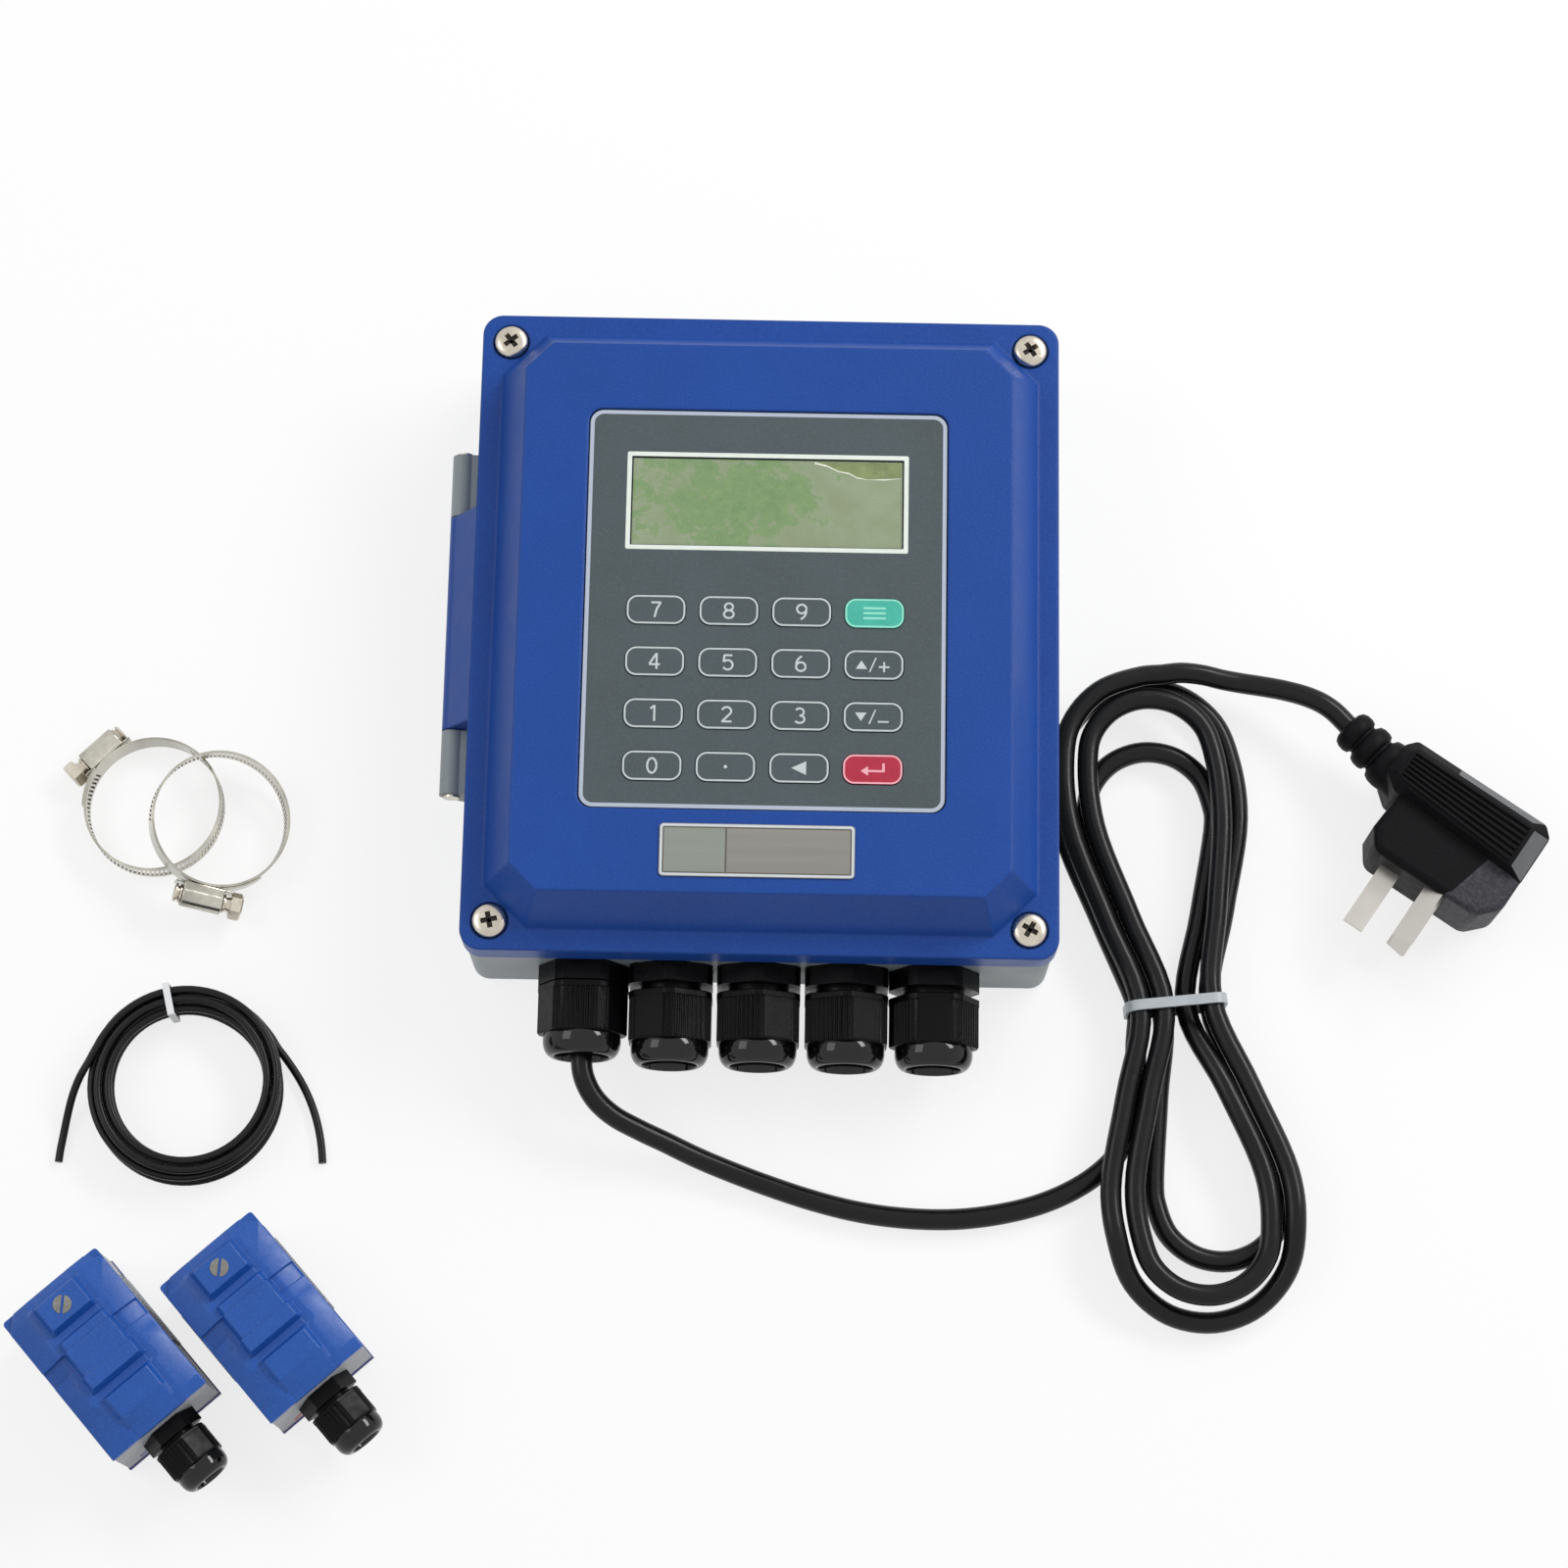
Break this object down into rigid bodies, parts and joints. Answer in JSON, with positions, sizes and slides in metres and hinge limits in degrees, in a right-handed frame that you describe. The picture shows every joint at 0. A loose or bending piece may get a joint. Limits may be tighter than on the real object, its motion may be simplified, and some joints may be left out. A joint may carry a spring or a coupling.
{
  "type": "ultrasonic flow meter",
  "caption": "Wall-mounted ultrasonic flow meter with hinged keypad cover, cable glands and mains lead, lying with its clamp-on transducers, signal cable and band clamps.",
  "frame": {"origin": "centre of the four mounting holes in the case's flat back, on the back plane", "axes": "+Z out of the back through the front panel, +Y up the panel away from the glands, +X to the panel's right"},
  "size_m": [0.4365, 0.3425, 0.0585],
  "materials": {
    "case_paint": "fine powder coat, satin",
    "cover_paint": "fine powder coat, satin",
    "steel": "bright, lightly brushed",
    "gasket_rubber": "soft black",
    "board": "green lacquered board",
    "parts_black": "moulded, matte",
    "terminal_green": "moulded, matte",
    "gland_nylon": "moulded nylon, semi-gloss",
    "seal_rubber": "soft black",
    "cord_pvc": "flexible sheath, satin",
    "plug_pvc": "moulded, satin",
    "tie_plastic": "light grey, satin",
    "overlay_film": "printed film, satin",
    "lcd": "reflective display behind clear glass",
    "bezel_metal": "satin",
    "plate_metal": "satin, bare",
    "ribbon_pvc": "light grey, satin",
    "key_grey": "printed film, satin",
    "key_green": "printed film, satin",
    "key_red": "printed film, satin",
    "sensor_grey": "moulded, matte",
    "sensor_blue": "moulded, semi-gloss",
    "sensor_face": "moulded, matte",
    "stainless": "bright, brushed along the band"
  },
  "bodies": {
    "case": {"rear_case": "case_paint", "hinge_pin": "steel", "main_board": "board", "board_screws": "steel", "board_components": "parts_black", "terminal_strip": "terminal_green", "gland_bodies": "gland_nylon", "gland_nuts": "gland_nylon", "gland_seals": "seal_rubber", "gland_locknuts": "gland_nylon", "mains_wires": "cord_pvc", "mains_lead": "cord_pvc", "mains_hank": "cord_pvc", "mains_tail": "cord_pvc", "hank_tie": "tie_plastic", "plug_body": "plug_pvc", "plug_pins": "steel", "ribbon_cable": "ribbon_pvc", "transducer_body_a": "sensor_grey", "transducer_body_b": "sensor_grey", "transducer_cover_a": "sensor_blue", "transducer_cover_b": "sensor_blue", "transducer_base_a": "sensor_face", "transducer_base_b": "sensor_face", "transducer_gland_bodies": "gland_nylon", "transducer_gland_nuts": "gland_nylon", "transducer_screws": "steel", "clamp_bands": "stainless", "clamp_housings": "stainless", "signal_coil": "cord_pvc", "signal_cable_ends": "cord_pvc", "signal_tie": "tie_plastic"},
    "cover": {"front_cover": "cover_paint", "case_gasket": "gasket_rubber", "cover_screws": "steel", "keypad_overlay": "overlay_film", "lcd_glass": "lcd", "lcd_bezel": "bezel_metal", "display_board": "board", "display_board_screws": "steel", "label_plate": "plate_metal"},
    "key_7": {"key_7": "key_grey"},
    "key_8": {"key_8": "key_grey"},
    "key_9": {"key_9": "key_grey"},
    "key_menu": {"key_menu": "key_green"},
    "key_4": {"key_4": "key_grey"},
    "key_5": {"key_5": "key_grey"},
    "key_6": {"key_6": "key_grey"},
    "key_up": {"key_up": "key_grey"},
    "key_1": {"key_1": "key_grey"},
    "key_2": {"key_2": "key_grey"},
    "key_3": {"key_3": "key_grey"},
    "key_down": {"key_down": "key_grey"},
    "key_0": {"key_0": "key_grey"},
    "key_point": {"key_point": "key_grey"},
    "key_left": {"key_left": "key_grey"},
    "key_enter": {"key_enter": "key_red"},
    "clamp_screw_1": {"clamp_screw_1": "steel"},
    "clamp_screw_2": {"clamp_screw_2": "steel"}
  },
  "joints": [
    {"name": "cover_hinge", "type": "hinge", "parent": "case", "child": "cover", "pos_m": [-0.09, 0.004, 0.03], "axis": [0, -1, 0], "range_deg": [0, 150], "deforming": ["ribbon_cable"]},
    {"name": "key_7_press", "type": "slide", "parent": "cover", "child": "key_7", "axis": [0, 0, -1], "range_m": [0, 0.0004], "stiffness_N_per_m": 600, "springref_m": -0.0006},
    {"name": "key_8_press", "type": "slide", "parent": "cover", "child": "key_8", "axis": [0, 0, -1], "range_m": [0, 0.0004], "stiffness_N_per_m": 600, "springref_m": -0.0006},
    {"name": "key_9_press", "type": "slide", "parent": "cover", "child": "key_9", "axis": [0, 0, -1], "range_m": [0, 0.0004], "stiffness_N_per_m": 600, "springref_m": -0.0006},
    {"name": "key_menu_press", "type": "slide", "parent": "cover", "child": "key_menu", "axis": [0, 0, -1], "range_m": [0, 0.0004], "stiffness_N_per_m": 600, "springref_m": -0.0006},
    {"name": "key_4_press", "type": "slide", "parent": "cover", "child": "key_4", "axis": [0, 0, -1], "range_m": [0, 0.0004], "stiffness_N_per_m": 600, "springref_m": -0.0006},
    {"name": "key_5_press", "type": "slide", "parent": "cover", "child": "key_5", "axis": [0, 0, -1], "range_m": [0, 0.0004], "stiffness_N_per_m": 600, "springref_m": -0.0006},
    {"name": "key_6_press", "type": "slide", "parent": "cover", "child": "key_6", "axis": [0, 0, -1], "range_m": [0, 0.0004], "stiffness_N_per_m": 600, "springref_m": -0.0006},
    {"name": "key_up_press", "type": "slide", "parent": "cover", "child": "key_up", "axis": [0, 0, -1], "range_m": [0, 0.0004], "stiffness_N_per_m": 600, "springref_m": -0.0006},
    {"name": "key_1_press", "type": "slide", "parent": "cover", "child": "key_1", "axis": [0, 0, -1], "range_m": [0, 0.0004], "stiffness_N_per_m": 600, "springref_m": -0.0006},
    {"name": "key_2_press", "type": "slide", "parent": "cover", "child": "key_2", "axis": [0, 0, -1], "range_m": [0, 0.0004], "stiffness_N_per_m": 600, "springref_m": -0.0006},
    {"name": "key_3_press", "type": "slide", "parent": "cover", "child": "key_3", "axis": [0, 0, -1], "range_m": [0, 0.0004], "stiffness_N_per_m": 600, "springref_m": -0.0006},
    {"name": "key_down_press", "type": "slide", "parent": "cover", "child": "key_down", "axis": [0, 0, -1], "range_m": [0, 0.0004], "stiffness_N_per_m": 600, "springref_m": -0.0006},
    {"name": "key_0_press", "type": "slide", "parent": "cover", "child": "key_0", "axis": [0, 0, -1], "range_m": [0, 0.0004], "stiffness_N_per_m": 600, "springref_m": -0.0006},
    {"name": "key_point_press", "type": "slide", "parent": "cover", "child": "key_point", "axis": [0, 0, -1], "range_m": [0, 0.0004], "stiffness_N_per_m": 600, "springref_m": -0.0006},
    {"name": "key_left_press", "type": "slide", "parent": "cover", "child": "key_left", "axis": [0, 0, -1], "range_m": [0, 0.0004], "stiffness_N_per_m": 600, "springref_m": -0.0006},
    {"name": "key_enter_press", "type": "slide", "parent": "cover", "child": "key_enter", "axis": [0, 0, -1], "range_m": [0, 0.0004], "stiffness_N_per_m": 600, "springref_m": -0.0006},
    {"name": "clamp_screw_1_turn", "type": "hinge", "parent": "case", "child": "clamp_screw_1", "pos_m": [-0.19683, -0.02917, 0.004], "axis": [-0.7071, -0.7071, 0], "continuous": true},
    {"name": "clamp_screw_2_turn", "type": "hinge", "parent": "case", "child": "clamp_screw_2", "pos_m": [-0.16374, -0.07474, 0.00909], "axis": [0.9449, -0.1561, -0.2878], "continuous": true}
  ]
}
